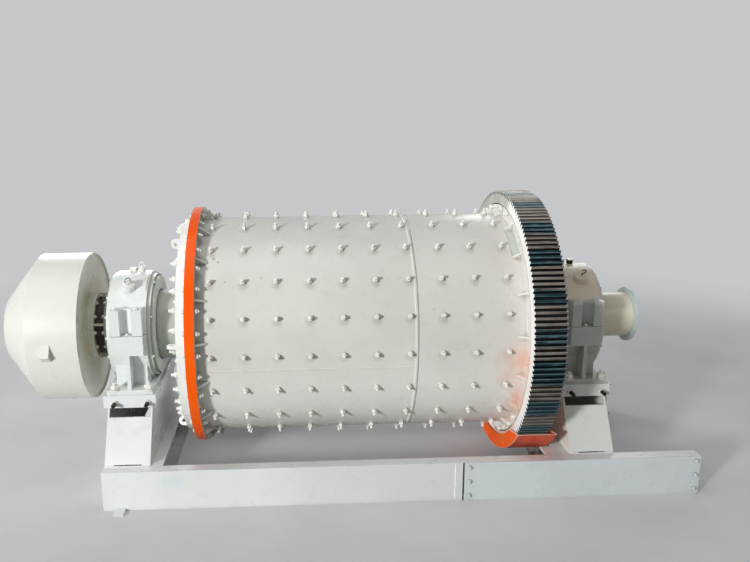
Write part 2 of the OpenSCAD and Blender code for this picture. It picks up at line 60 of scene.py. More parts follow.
# Places along the mill
SHELL_X = low("shell_feed_course").x
SEAM_X = high("shell_feed_course").x
GEAR_X = low("girth_gear_front_half").x
FLANGE_OUT = low("feed_flange").x
FLANGE_IN = high("feed_flange").x
HEAD_X = FLANGE_OUT - 0.065
PLATE_X = high("feeder_back_plate").x
FEED_X = middle_x("feed_bearing_base")
DRIVE_X = middle_x("discharge_bearing_base")
PAST_GEAR = (1.2, 1.4)

# Radii from the mill's axis
SHELL_R = 0.75
GEAR_TIP = high("girth_gear_front_half").z - AXIS
GUARD_R = 0.940
NECK_R = 0.197

# The liner bolts stand in columns along the shell and in rows round it, whose places are in degrees
COLUMNS, FIRST_COLUMN, COLUMN_PITCH = 10, 0.147, 0.2084
ROWS, FIRST_ROW = 20, 70.0
ROW_PITCH = 360 / ROWS

# Height of the bearings' joint above the axis, and the angle of the bosses on their caps
JOINT_Z = 0.030
BOSS_ANGLE = 54

# How far a small part sinks into what it stands on, and the widest chance turn of a nut in radians
SINK = 0.0005
NUT_TURN = 6
rng = random.Random(7)


# Mesh code

class Build:
    """Collects small shapes into one mesh."""

    def __init__(self):
        self.verts = []
        self.faces = []
        self.smooth = []

    def add(self, shape, matrix=None):
        verts, faces, smooth = shape
        base = len(self.verts)
        self.verts += [matrix @ v for v in verts] if matrix else list(verts)
        self.faces += [[i + base for i in f] for f in faces]
        self.smooth += [smooth] * len(faces)

    def done(self, name, body, slot, material):
        mesh = bpy.data.meshes.new(name)
        mesh.from_pydata(self.verts, [], self.faces)
        mesh.polygons.foreach_set("use_smooth", self.smooth)
        mesh.materials.append(material)
        mesh.update()
        made = bpy.data.objects.new(name, mesh)
        bpy.context.scene.collection.objects.link(made)
        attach(made, body)
        return made


def rings(count, sides):
    """Side faces between rows of points that follow one another, each a closed ring."""
    faces = []
    for k in range(count - 1):
        for i in range(sides):
            j = (i + 1) % sides
            faces.append([k * sides + i, k * sides + j, (k + 1) * sides + j, (k + 1) * sides + i])
    return faces


def ends(count, sides):
    """The two end faces of such rows."""
    top = (count - 1) * sides
    return [list(range(sides))[::-1], list(range(top, top + sides))]


def lathe(profile, sides=24):
    """A closed shape turned about +Z from (radius, height) pairs, listed from its low end to its high end."""
    verts = []
    for r, z in profile:
        for i in range(sides):
            a = 2 * math.pi * i / sides
            verts.append(Vector((r * math.cos(a), r * math.sin(a), z)))
    return verts, rings(len(profile), sides) + ends(len(profile), sides), False


def merged(*shapes):
    verts = []
    faces = []
    for more, rows, _ in shapes:
        base = len(verts)
        verts += more
        faces += [[i + base for i in row] for row in rows]
    return verts, faces, False


def washer(r, thick, z=0.0):
    return lathe([(r, z), (r, z + thick * 0.7), (r - thick * 0.3, z + thick)], 20)


def nut(across, height, z=0.0):
    """A hexagon with eased edges. across is its width over flats."""
    r = across / 2 / math.cos(math.pi / 6)
    return lathe([(r * 0.96, z), (r, z + height * 0.08), (r, z + height * 0.82), (r * 0.9, z + height)], 6)


def stud(r, height):
    return lathe([(r, 0.0), (r, height - r * 0.25), (r * 0.72, height)], 12)


def nutted(across, height, stud_r, stud_h, washer_r=0.0, washer_t=0.0):
    """A nut on its washer with the stud's end through it, standing on z = 0."""
    parts = [nut(across, height, washer_t - SINK), stud(stud_r, stud_h)]
    if washer_r:
        parts.append(washer(washer_r, washer_t, -SINK))
    return merged(*parts)


def block(lo, hi, bevel):
    """A block with its upright and level edges eased by bevel."""
    lo, hi = Vector(lo), Vector(hi)
    verts = []
    for z, inset in ((lo.z, bevel), (lo.z + bevel, 0), (hi.z - bevel, 0), (hi.z, bevel)):
        x0, x1 = lo.x + inset, hi.x - inset
        y0, y1 = lo.y + inset, hi.y - inset
        outline = ((x0 + bevel, y0), (x1 - bevel, y0), (x1, y0 + bevel), (x1, y1 - bevel),
                   (x1 - bevel, y1), (x0 + bevel, y1), (x0, y1 - bevel), (x0, y0 + bevel))
        verts += [Vector((x, y, z)) for x, y in outline]
    return verts, rings(4, 8) + ends(4, 8), False


def prism(outline, z0, z1):
    """An upright block with a flat outline, listed anticlockwise."""
    verts = [Vector((x, y, z)) for z in (z0, z1) for x, y in outline]
    return verts, rings(2, len(outline)) + ends(2, len(outline)), False


def tube(points, r, sides=8, closed=False):
    """Round wire along a flat row of points."""
    n = len(points)
    verts = []
    side = None
    for i, p in enumerate(points):
        ahead = points[(i + 1) % n] if closed or i < n - 1 else p
        behind = points[i - 1] if closed or i > 0 else p
        along = (ahead - behind).normalized()
        side = along.orthogonal() if side is None else side - along * side.dot(along)
        side.normalize()
        other = along.cross(side)
        for k in range(sides):
            a = 2 * math.pi * k / sides
            verts.append(p + (side * math.cos(a) + other * math.sin(a)) * r)
    if not closed:
        return verts, rings(n, sides) + ends(n, sides), True
    last = (n - 1) * sides
    joined = [[last + k, last + (k + 1) % sides, (k + 1) % sides, k] for k in range(sides)]
    return verts, rings(n, sides) + joined, True


def hoop(big, wire):
    """A standing wire ring on z = 0 in the XZ plane."""
    count = 26
    turns = [2 * math.pi * i / count for i in range(count)]
    return tube([Vector((big * math.sin(a), 0, big * (1 - math.cos(a)))) for a in turns], wire, closed=True)


def eye_plate(reach, half, hole, thick):
    """A plate in the XZ plane from z = 0 to reach, with a round end of radius half and a hole through it."""
    centre = reach - half
    count = 48
    outer = []
    inner = []
    for i in range(count):
        a = 2 * math.pi * i / count
        sx, sz = math.sin(a), math.cos(a)
        across = half / abs(sx) if abs(sx) > 1e-6 else math.inf
        k = half if sz >= 0 else min(across, centre / -sz)
        outer.append((k * sx, centre + k * sz))
        inner.append((hole * sx, centre + hole * sz))
    verts = []
    for y in (-thick / 2, thick / 2):
        verts += [Vector((x, y, z)) for x, z in outer + inner]
    faces = []
    for i in range(count):
        j = (i + 1) % count
        faces += [[i, j, count + j, count + i],
                  [2 * count + j, 2 * count + i, 3 * count + i, 3 * count + j],
                  [j, i, 2 * count + i, 2 * count + j],
                  [count + i, count + j, 3 * count + j, 3 * count + i]]
    return verts, faces, False


def towards(place, direction, turn=0.0):
    """Matrix that stands a shape's +Z along direction at place."""
    lean = Vector(direction).to_track_quat("Z", "Y").to_matrix().to_4x4()
    return Matrix.Translation(place) @ lean @ Matrix.Rotation(turn, 4, "Z")


def outward(deg):
    """Direction away from the mill's axis, deg above level on the side of -Y."""
    a = math.radians(deg)
    return Vector((0, -math.cos(a), math.sin(a)))


def on_drum(x, r, deg):
    return Vector((x, 0, AXIS)) + outward(deg) * r


def nut_turn():
    return rng.random() * NUT_TURN


def side_nut(x, r, deg, way):
    """Matrix of a nut on a flat side of the mill. It points along X, and way is +1 or -1."""
    return towards(on_drum(x, r, deg), (way, 0, 0), nut_turn())


def bead(points, ups, width, height, closed, pitch):
    """A weld bead along points, standing up along ups, with the ripples of its passes."""
    count = len(points)
    steps = 6
    ripple, unevenness = 0.18, 0.08
    verts = []
    run = 0.0
    wander = rng.random() * 6
    for i, (p, up) in enumerate(zip(points, ups)):
        ahead = points[(i + 1) % count] if closed or i < count - 1 else p
        behind = points[i - 1] if closed or i > 0 else p
        along = (ahead - behind).normalized()
        run += (p - points[i - 1]).length if i else 0.0
        side = along.cross(up).normalized()
        wave = 1 + ripple * math.sin(2 * math.pi * run / pitch) + unevenness * math.sin(run * 37 + wander)
        taper = 1.0 if closed else min(1.0, 0.4 + min(i, count - 1 - i) * 0.3)
        for k in range(steps):
            t = math.pi * k / (steps - 1)
            h = math.sin(t) * height * wave * taper if 0 < k < steps - 1 else -height * 0.4
            verts.append(p + side * (width / 2 * math.cos(t) * (0.92 + 0.08 * wave) * taper) + up * h)
    faces = []
    for i in range(count if closed else count - 1):
        j = (i + 1) % count
        for k in range(steps - 1):
            faces.append([i * steps + k, i * steps + k + 1, j * steps + k + 1, j * steps + k])
        faces.append([i * steps + steps - 1, i * steps, j * steps, j * steps + steps - 1])
    if not closed:
        faces += ends(count, steps)
    return verts, faces, True


def straight_bead(a, b, up, width, height, step=0.003, pitch=0.009):
    a, b = Vector(a), Vector(b)
    n = max(3, int((b - a).length / step))
    points = [a.lerp(b, i / n) for i in range(n + 1)]
    return bead(points, [Vector(up).normalized()] * len(points), width, height, False, pitch)


def round_bead(x, r, tilt, width, height, step, pitch=0.009):
    """A bead right round the mill's axis. tilt turns it from radial (0) towards +X (90)."""
    n = int(2 * math.pi * r / step)
    degs = [360 * i / n for i in range(n)]
    t = math.radians(tilt)
    ups = [outward(d) * math.cos(t) + Vector((math.sin(t), 0, 0)) for d in degs]
    return bead([on_drum(x, r, d) for d in degs], ups, width, height, True, pitch)


# Materials

def srgb(r, g, b):
    """A colour written as 0 to 255 display values, as the shader wants it."""
    return tuple(((c / 255 + 0.055) / 1.055) ** 2.4 if c > 10 else c / 255 / 12.92 for c in (r, g, b))


class Tree:
    """Short names for building a material's nodes. Its colours are display values unless they are sockets."""

    def __init__(self, name, rough, metal=0.0, spec=0.5):
        self.mat = bpy.data.materials.new(name)
        self.mat.use_nodes = True
        self.nt = self.mat.node_tree
        self.nt.nodes.clear()
        out = self.node("ShaderNodeOutputMaterial")
        self.bsdf = self.node("ShaderNodeBsdfPrincipled")
        self.nt.links.new(self.bsdf.outputs[0], out.inputs[0])
        self.bsdf.inputs["Roughness"].default_value = rough
        self.bsdf.inputs["Metallic"].default_value = metal
        self.bsdf.inputs["Specular IOR Level"].default_value = spec
        self.bsdf.inputs["Coat Weight"].default_value = 0.0
        self.pos = self.node("ShaderNodeTexCoord").outputs["Object"]
        self.x, self.y, self.z = self.split(self.pos)
        self.nx, self.ny, self.nz = self.split(self.node("ShaderNodeNewGeometry").outputs["Normal"])
        self.turn = self.away = None

    def node(self, kind, **props):
        made = self.nt.nodes.new(kind)
        for key, value in props.items():
            setattr(made, key, value)
        return made

    def put(self, socket, value):
        if isinstance(value, bpy.types.NodeSocket):
            self.nt.links.new(value, socket)
        elif value is not None:
            socket.default_value = (*value, 1.0) if isinstance(value, tuple) and len(value) == 3 else value

    def split(self, vector):
        made = self.node("ShaderNodeSeparateXYZ")
        self.put(made.inputs[0], vector)
        return made.outputs

    def math(self, op, a, b=None):
        made = self.node("ShaderNodeMath", operation=op)
        self.put(made.inputs[0], a)
        self.put(made.inputs[1], b)
        return made.outputs[0]

    def plus(self, a, b):
        return self.math("ADD", a, b)

    def minus(self, a, b):
        return self.math("SUBTRACT", a, b)

    def apart(self, a, b):
        return self.math("ABSOLUTE", self.minus(a, b))

    def most(self, a, b):
        return self.math("MAXIMUM", a, b)

    def times(self, first, *others):
        for value in others:
            first = self.math("MULTIPLY", first, value)
        return first

    def far(self, a, b):
        """Length of the step (a, b)."""
        return self.math("SQRT", self.plus(self.math("POWER", a, 2.0), self.math("POWER", b, 2.0)))

    def angle(self):
        """Angle above level on the side of -Y, in radians."""
        if not self.turn:
            self.turn = self.math("ARCTAN2", self.minus(self.z, AXIS), self.times(self.y, -1.0))
        return self.turn

    def radius(self):
        """Distance from the mill's axis."""
        if not self.away:
            self.away = self.far(self.minus(self.z, AXIS), self.y)
        return self.away

    def noise(self, scale, detail=3.0, rough=0.55, stretch=None, distortion=0.0):
        made = self.node("ShaderNodeTexNoise")
        vector = self.pos
        if stretch:
            mapping = self.node("ShaderNodeMapping")
            mapping.inputs["Scale"].default_value = stretch
            self.put(mapping.inputs["Vector"], self.pos)
            vector = mapping.outputs[0]
        self.put(made.inputs["Vector"], vector)
        made.inputs["Scale"].default_value = scale
        made.inputs["Detail"].default_value = detail
        made.inputs["Roughness"].default_value = rough
        made.inputs["Distortion"].default_value = distortion
        return made.outputs["Fac"]

    def span(self, value, start, full, lo=0.0, hi=1.0):
        """Smooth step of value from start to full, giving lo to hi."""
        made = self.node("ShaderNodeMapRange", interpolation_type="SMOOTHSTEP")
        self.put(made.inputs[0], value)
        for i, v in enumerate((start, full, lo, hi)):
            made.inputs[i + 1].default_value = v
        return made.outputs[0]

    def arc(self, start, full, lo=0.0, hi=1.0):
        """Smooth step of the angle, given in degrees."""
        return self.span(self.angle(), math.radians(start), math.radians(full), lo, hi)

    def patches(self, scale, start, full, lo=0.0, hi=1.0, **kind):
        """Smooth step of a noise."""
        return self.span(self.noise(scale, **kind), start, full, lo, hi)

    def mix(self, factor, a, b):
        made = self.node("ShaderNodeMix", data_type="RGBA")
        self.put(made.inputs[0], factor)
        self.put(made.inputs[6], a)
        self.put(made.inputs[7], b)
        return made.outputs[2]

    def coat(self, amount, col, colour):
        """Lays a display colour over col."""
        return self.mix(amount, col, srgb(*colour))

    def two(self, factor, a, b):
        """Two display colours mixed by factor."""
        return self.mix(factor, srgb(*a), srgb(*b))

    def mottle(self, scale, a, b, start=0.3, full=0.7, **kind):
        """Two display colours mixed in soft patches."""
        return self.two(self.patches(scale, start, full, **kind), a, b)

    def bump(self, height, strength, distance, below=None):
        made = self.node("ShaderNodeBump")
        made.inputs["Strength"].default_value = strength
        made.inputs["Distance"].default_value = distance
        self.put(made.inputs["Height"], height)
        self.put(made.inputs["Normal"], below)
        return made.outputs[0]

    def done(self, colour, rough=None, normal=None, metal=None):
        self.put(self.bsdf.inputs["Base Color"], colour)
        self.put(self.bsdf.inputs["Roughness"], rough)
        self.put(self.bsdf.inputs["Normal"], normal)
        self.put(self.bsdf.inputs["Metallic"], metal)
        return self.mat


# The last of these colours is that of the painted shade in corners.
SMUDGE, SPECK, CORNER_SHADE = (158, 152, 138), (128, 116, 98), (104, 97, 82)
BOLT_SMUDGE, SCUFF, PRIMER_DUST = (140, 134, 118), (120, 110, 96), (232, 150, 108)
# Colour of the painted highlights on the guard's sheet edges.
EDGE_HIGHLIGHT = (240, 214, 198)


def enamel(name, colour, corner_shade=0.3, wave=0.3, rough=0.3, marks=None):
    """Sprayed gloss enamel on steel plate, with faint unevenness and smudges, and painted shade in its corners
    and crevices.
    """
    t = Tree(name, rough)
    darker = tuple(c - 9 for c in colour)
    col = t.mottle(1.4, darker, colour, 0.34, 0.66)
    wiped = t.patches(3.4, 0.56, 0.76, detail=5, rough=0.6, stretch=(1, 1, 2.2), distortion=0.8)
    col = t.coat(t.times(wiped, 0.16), col, SMUDGE)
    col = t.coat(t.times(t.patches(60, 0.76, 0.82, detail=2, rough=0.5), 0.3), col, SPECK)
    if marks:
        col = marks(t, col)
    # Painted shade: ambient occlusion darkens corners and crevices.
    corner = t.node("ShaderNodeAmbientOcclusion", samples=4)
    corner.inputs["Distance"].default_value = 0.035
    col = t.coat(t.span(corner.outputs["AO"], 0.8, 0.3, 0.0, corner_shade), col, CORNER_SHADE)
    sheet = t.bump(t.noise(5.0, 2, 0.4), wave * 0.3, 0.006)
    skin = t.bump(t.noise(110, 2, 0.5), 0.05, 0.001, sheet)
    return t.done(col, t.patches(7, 0.25, 0.8, rough - 0.05, rough + 0.1), skin)


def spot(t, col, place, size):
    """A small scuff with a ragged edge."""
    off = t.node("ShaderNodeVectorMath", operation="DISTANCE")
    t.put(off.inputs[0], t.pos)
    off.inputs[1].default_value = place
    ragged = t.plus(off.outputs["Value"], t.times(t.noise(60), size * 0.9))
    return t.coat(t.span(ragged, size * 1.35, size * 0.7, 0.0, 0.55), col, SCUFF)


def line(t, col, value, centre, half, colour, amount=0.9):
    """A thin line where value is within half of centre."""
    return t.coat(t.span(t.apart(value, centre), half * 1.5, half * 0.6, 0.0, amount), col, colour)


def overspray(t, col):
    """Red primer dust that drifted over the mill near the gear, most of it low down and over the top."""
    near = t.span(t.x, GEAR_X - 0.30, GEAR_X - 0.02)
    where = t.most(t.arc(10, -10, 0.15, 1.0), t.arc(62, 82, 0.0, 0.9))
    patch = t.patches(3.4, 0.42, 0.66, detail=4, rough=0.62, stretch=(1, 0.7, 0.7))
    return t.coat(t.times(near, patch, where, 0.54), col, PRIMER_DUST)


def bolt_smudges(t, col):
    """Dirt that gathered round each liner bolt and a little below it."""
    row = math.radians(ROW_PITCH)
    drop = 0.016
    column = t.math("DIVIDE", t.minus(t.x, SHELL_X + FIRST_COLUMN), COLUMN_PITCH)
    place = t.math("DIVIDE", t.minus(t.angle(), math.radians(FIRST_ROW)), row)
    along = t.times(t.minus(column, t.math("ROUND", column)), COLUMN_PITCH)
    around = t.times(t.minus(place, t.math("ROUND", place)), row * SHELL_R)
    ragged = t.plus(t.far(along, t.plus(around, drop)), t.times(t.noise(40), 0.03))
    return t.coat(t.span(ragged, 0.062, 0.034, 0.0, 0.26), col, BOLT_SMUDGE)


def shell_marks(t, col):
    """Bolt smudges, a greyer band beside the drive flange, painted light on the lower part, scuffs and primer
    dust.
    """
    col = bolt_smudges(t, col)
    # A greyer band between the ribs at 45 and 65 degrees beside the drive flange, with a darker line along its
    # edge.
    band_x = GEAR_X - 0.051
    edge = math.degrees(0.01)
    panel = t.times(t.arc(45, 45 + edge), t.arc(65, 65 - edge))
    grey_band = t.times(t.span(t.x, band_x - 0.003, band_x), panel, 0.8)
    col = t.coat(grey_band, col, (188, 194, 186))
    col = t.mix(panel, col, line(t, col, t.x, band_x, 0.002, (120, 118, 108), 0.7))
    # Painted light: the shell is made lighter below the axis, as if lit from the lower front.
    painted_light_below = t.span(t.z, AXIS + 0.11, AXIS - 0.33, 0.0, 0.48)
    col = t.coat(painted_light_below, col, (244, 243, 236))
    for x, deg, size in SCUFFS:
        col = spot(t, col, on_drum(x, SHELL_R, deg), size)
    return overspray(t, col)


def housing_marks(t, col):
    """Cap joint, a rusty run by the feed cover, and the discharge bearing's warm cap and shaded base."""
    discharge = t.span(t.x, *PAST_GEAR)
    cap = t.span(t.z, AXIS + 0.18, AXIS + 0.23)
    below_cap = t.span(t.z, AXIS + 0.20, AXIS + 0.17)
    col = t.coat(t.times(discharge, cap, 0.8), col, (236, 222, 196))
    col = t.coat(t.times(discharge, below_cap, 0.55), col, (150, 151, 141))
    cover_edge = t.span(t.apart(t.x, FEED_X + 0.113), 0.006, 0.002)
    rust = t.times(cover_edge, t.patches(9, 0.3, 0.5), t.arc(46, 56, 0.0, 0.85))
    col = t.coat(rust, col, (160, 122, 84))
    upright = t.span(t.math("ABSOLUTE", t.nz), 0.7, 0.5)
    return t.mix(upright, col, line(t, col, t.z, AXIS + JOINT_Z, 0.0016, (62, 62, 56)))


def cover_marks(t, col):
    """Thin joints between the rings of the covers."""
    flat = t.span(t.math("ABSOLUTE", t.nx), 0.5, 0.8)
    for r in (0.250, 0.349, 0.3665):
        col = t.mix(flat, col, line(t, col, t.radius(), r, 0.0038, (44, 46, 42)))
    return col


def feeder_warm_reflection(t, col):
    """Painted reflection: a yellower tint round the middle of the back plate, on the side towards the bearing.
    """
    side = t.times(t.span(t.nx, 0.5, 0.8), t.span(t.x, -1.99, -1.97))
    ragged = t.plus(t.radius(), t.times(t.noise(5), 0.08))
    return t.coat(t.times(side, t.span(ragged, 0.46, 0.28, 0.15, 0.8)), col, (228, 215, 174))


def base_marks(t, col):
    """A touched-up patch, pinkish patches on the top flange near the gear, a warmer discharge pedestal,
    painted shade that darkens the front towards the right, and painted shade in the gap.
    """
    patch_x, patch_z, half_x, half_z = -1.172, 0.196, 0.055, 0.034
    over = t.most(t.minus(t.apart(t.x, patch_x), half_x), t.minus(t.apart(t.z, patch_z), half_z))
    ragged = t.plus(over, t.times(t.noise(22), 0.03))
    col = t.coat(t.span(ragged, 0.022, 0.010, 0.0, 0.34), col, (196, 216, 222))
    pedestal = t.times(t.span(t.x, 1.2, 1.45), t.span(t.z, 0.27, 0.29))
    col = t.coat(t.times(pedestal, 0.7), col, (228, 224, 210))
    # Pinkish patches on the top flange near the gear, most of them on its front edge.
    near_gear = t.span(t.apart(t.x, GEAR_X + 0.10), 0.62, 0.2)
    front_flange = t.span(t.y, -0.60, -0.66, 0.25, 1.0)
    dust = t.times(near_gear, t.patches(3.2, 0.3, 0.65, detail=4, rough=0.6), front_flange)
    col = t.coat(t.times(t.span(t.nz, 0.6, 0.9), dust, 0.40), col, (212, 176, 168))
    # Painted shade: the front faces grow darker towards the right.
    front = t.span(t.ny, -0.5, -0.8)
    col = t.coat(t.times(front, t.span(t.x, -0.9, 0.5, 0.0, 0.66)), col, (200, 205, 202))
    # Painted shade in the gap between the splice strips and the cover plate.
    gap_x = (low("base_cover_plate").x + high("base_splice_strips").x) / 2
    return t.mix(front, col, line(t, col, t.x, gap_x, 0.0062, (38, 40, 40), 0.95))


def orange_enamel():
    """Orange on the flange's edge, with the mill's own colour on its flat sides."""
    t = Tree("orange_enamel", 0.36, spec=0.15)
    drips = t.times(t.patches(14, 0.68, 0.8, detail=4, rough=0.6), 0.35)
    col = t.coat(drips, t.mottle(3.0, (250, 88, 0), (254, 100, 0)), (206, 50, 6))
    chips = t.times(t.patches(70, 0.75, 0.8, rough=0.5), 0.5)
    col = t.coat(chips, col, (205, 186, 168))
    worn = t.patches(20, 0.3, 0.7, 0.0, 0.25)
    side = t.span(t.math("ABSOLUTE", t.nx), 0.5, 0.7)
    col = t.mix(side, col, t.two(worn, (220, 218, 206), (176, 168, 148)))
    return t.done(col, t.patches(8, 0.3, 0.7, 0.24, 0.36, detail=2), t.bump(t.noise(120), 0.08, 0.001))


def primer():
    """Red primer on the guard: bright inside, dusty outside, with painted highlights along the sheet's edges.
    """
    t = Tree("red_primer", 0.55, spec=0.2)
    lo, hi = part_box("gear_guard")
    inside = t.mottle(4.0, (254, 88, 4), (255, 112, 20))
    outside = t.mottle(5.0, (192, 76, 52), (226, 102, 70), detail=4)
    dusty = t.times(t.patches(4.2, 0.5, 0.7, detail=4, rough=0.65), 0.7)
    outside = t.coat(dusty, outside, (170, 126, 116))
    wrap = t.span(t.radius(), GUARD_R - 0.004, GUARD_R - 0.002)
    col = t.mix(wrap, inside, outside)
    scratch = t.times(t.patches(30, 0.66, 0.74, detail=4, rough=0.6, stretch=(1, 4, 4)), 0.4)
    col = t.coat(scratch, col, (236, 196, 174))
    # Painted highlight along the sloping end edge of the guard.
    end_slope = math.tan(math.radians(10.5))
    end_z = t.plus(t.times(t.minus(t.math("ABSOLUTE", t.y), hi.y), end_slope), hi.z)
    ragged = t.plus(t.minus(end_z, t.z), t.times(t.noise(26), 0.008))
    col = t.coat(t.span(ragged, 0.014, 0.008, 0.0, 0.75), col, EDGE_HIGHLIGHT)
    # Painted highlight along the wrap's edge beside the side plate.
    side_edge = t.times(wrap, t.span(t.minus(t.x, lo.x), 0.010, 0.005, 0.0, 0.6))
    col = t.coat(side_edge, col, (240, 206, 186))
    return t.done(col, t.patches(12, 0.3, 0.7, 0.4, 0.62), t.bump(t.noise(150), 0.15, 0.001))


def blued_teeth(t, wander):
    """Where the teeth carry marking blue."""
    blued = 0.0
    for a, b in BLUE_TEETH:
        half = abs(a - b) / 2
        blued = t.most(blued, t.span(t.apart(wander, (a + b) / 2), half + 0.7, half - 0.7))
    return blued


def gear_metal():
    """Cut teeth with marking blue on some of them, and white paint on the gear's sides."""
    t = Tree("gear_metal", 0.42, spec=0.3)
    depth = t.minus(GEAR_TIP, t.radius())
    wander = t.plus(t.times(t.angle(), 180 / math.pi), t.times(t.minus(t.noise(5), 0.5), 3.0))
    blued = blued_teeth(t, wander)
    along = (0.25, 1, 1)
    steel = t.mottle(24, (58, 51, 46), (104, 96, 88), detail=4, rough=0.6, stretch=along)
    blue = t.mottle(30, (20, 46, 54), (48, 94, 104), rough=0.6, stretch=along)
    col = t.mix(blued, steel, blue)

    worn = t.patches(12, 0.34, 0.7, 0.1, 0.9, detail=4, rough=0.6, stretch=(0.35, 1, 1))
    tip_steel = t.two(worn, (74, 66, 60), (150, 143, 134))
    tip_blue = t.mottle(14, (12, 48, 56), (80, 108, 112), 0.5, 0.66, detail=4, rough=0.6, stretch=(0.5, 1, 1))
    col = t.mix(t.span(depth, 0.0012, 0.0006), col, t.mix(blued, tip_steel, tip_blue))

    # Painted highlight on the flanks just below the tips, weaker on the lower teeth.
    corner = t.times(t.span(depth, 0.0085, 0.006), t.span(depth, 0.0002, 0.0016), t.arc(-8, -30, 1.0, 0.45),
                     t.patches(10, 0.25, 0.5, rough=0.6, stretch=(0.4, 1, 1)))
    col = t.mix(corner, col, t.two(blued, (206, 200, 192), (150, 170, 178)))
    # Painted shade in the gaps between the teeth, less dark on the lower teeth.
    root_shade = t.span(depth, 0.009, 0.018, 0.0, 0.96)
    dusty = t.arc(-8, -26)
    dusty_root = t.two(blued, (62, 58, 54), (36, 48, 56))
    col = t.mix(root_shade, col, t.mix(dusty, srgb(14, 13, 12), dusty_root))
    col = t.mix(t.times(dusty, 0.35), col, t.two(blued, (82, 76, 70), (44, 60, 70)))

    patch = t.times(t.patches(3.1, 0.5, 0.7, detail=4, rough=0.6), 0.35)
    white = t.two(patch, (242, 243, 241), (232, 214, 202))
    white = t.coat(t.arc(-40, -58, 0.0, 0.6), white, (236, 150, 110))
    bare_top = t.times(t.span(wander, 72, 80), t.span(wander, 150, 138), 0.9)
    white = t.mix(bare_top, white, t.mottle(7, (150, 150, 140), (186, 186, 176), detail=4))
    side = t.span(t.math("ABSOLUTE", t.nx), 0.6, 0.8)
    painted = t.most(side, t.span(depth, 0.030, 0.034))
    col = t.mix(painted, col, white)
    metal = t.times(t.minus(1.0, painted), 0.45)
    grain = t.bump(t.noise(120, rough=0.6, stretch=(0.2, 1, 1)), 0.2, 0.001)
    return t.done(col, t.patches(14, 0.3, 0.7, 0.3, 0.5), grain, metal)


def bare_steel(name, dark, light):
    t = Tree(name, 0.5, metal=0.6)
    col = t.mottle(26, dark, light, detail=4, rough=0.6)
    col = t.coat(t.times(t.patches(11, 0.6, 0.75, detail=4, rough=0.6), 0.5), col, (92, 62, 42))
    return t.done(col, t.patches(18, 0.3, 0.7, 0.4, 0.65), t.bump(t.noise(180), 0.3, 0.001))


def casting_black():
    """Near-black casting whose ribs are khaki."""
    t = Tree("black_casting", 0.65)
    col = t.mottle(20, (26, 25, 22), (52, 49, 42), detail=4, rough=0.6)
    col = t.coat(t.times(t.patches(9, 0.58, 0.75, detail=4, rough=0.6), 0.5), col, (84, 74, 58))
    col = t.coat(t.span(t.radius(), NECK_R + 0.001, NECK_R + 0.003), col, (206, 204, 180))
    return t.done(col, t.patches(14, 0.3, 0.7, 0.5, 0.75), t.bump(t.noise(140, 4), 0.3, 0.0015))


# Scuffs on the shell: place along the mill, degrees above level, size
SCUFFS = ((-0.86, 47.5, 0.018), (-0.83, 45.5, 0.013), (-0.784, 34.6, 0.010), (-0.56, 36.3, 0.009),
          (1.085, 44.5, 0.010), (0.52, 19.0, 0.007))

# Stretches of the gear with marking blue, in degrees above level
BLUE_TEETH = ((86, 80), (71.5, 66), (57, 50), (42, 35), (25, 19), (10, 3), (-2.5, -14), (-22, -30), (-37, -44),
              (-62, -72), (104, 112), (128, 133), (150, 160), (-95, -104), (-126, -131), (-148, -160),
              (-171, -177))

SHELL = enamel("shell_enamel", (218, 217, 210), corner_shade=0.45, marks=shell_marks)
GREY = enamel("grey_enamel", (228, 228, 222), marks=overspray)
SPOUT = enamel("spout_enamel", (234, 228, 206), corner_shade=0.35)
RIM = enamel("spout_rim_enamel", (190, 206, 204), corner_shade=0.35)
WHITE = enamel("white_enamel", (238, 239, 236), corner_shade=0.25)
BOLT = enamel("bolt_enamel", (238, 238, 231), corner_shade=0.8, rough=0.24)
HOUSING = enamel("housing_enamel", (226, 231, 227), marks=housing_marks)
COVER = enamel("cover_enamel", (222, 226, 220), marks=cover_marks)
# The trunnions and inner covers are a darker greenish grey: partly their own paint, partly painted shade.
NECK_PAINT_AND_SHADE = enamel("neck_enamel", (168, 173, 163), corner_shade=0.6, rough=0.4)
INNER_COVER_PAINT_AND_SHADE = enamel("inner_cover_enamel", (196, 202, 192), corner_shade=0.6, marks=cover_marks)
COOL = enamel("base_enamel", (230, 234, 233), wave=0.25, marks=base_marks)
PLATE = enamel("cover_plate_enamel", (206, 213, 215), wave=0.25)
PLATE_BOLT = enamel("plate_bolt_enamel", (204, 210, 210), corner_shade=1.0)
LEG = enamel("leg_primer", (136, 124, 116), corner_shade=0.4, rough=0.5)
CREAM = enamel("feeder_enamel", (233, 233, 224), wave=0.22, corner_shade=0.2, marks=feeder_warm_reflection)
STEEL = bare_steel("dark_bolt_steel", (18, 18, 17), (44, 42, 39))
WIRE = bare_steel("wire_steel", (70, 68, 60), (128, 124, 112))

OWN_LOOK = {
    "feed_head": WHITE, "feed_trunnion": NECK_PAINT_AND_SHADE, "discharge_trunnion": NECK_PAINT_AND_SHADE,
    "feed_bearing_inner_cover": INNER_COVER_PAINT_AND_SHADE, "discharge_bearing_inner_cover": INNER_COVER_PAINT_AND_SHADE,
    "spout": SPOUT, "spout_joint_flange": SPOUT, "spout_end_flange": RIM,
    "base_cover_plate": PLATE, "gear_guard_legs": LEG,
    "feed_flange": orange_enamel(), "gear_guard": primer(), "feeder_neck": casting_black(),
}
LOOK_BY_WORD = {
    "shell_": SHELL, "feeder_": CREAM, "girth_gear": gear_metal(),
    "base_": COOL, "pedestal": COOL, "sole_plate": COOL, "cross_members": COOL,
    "cover": COVER, "bearing": HOUSING, "cap_fittings": HOUSING, "anchor_lugs": HOUSING,
}


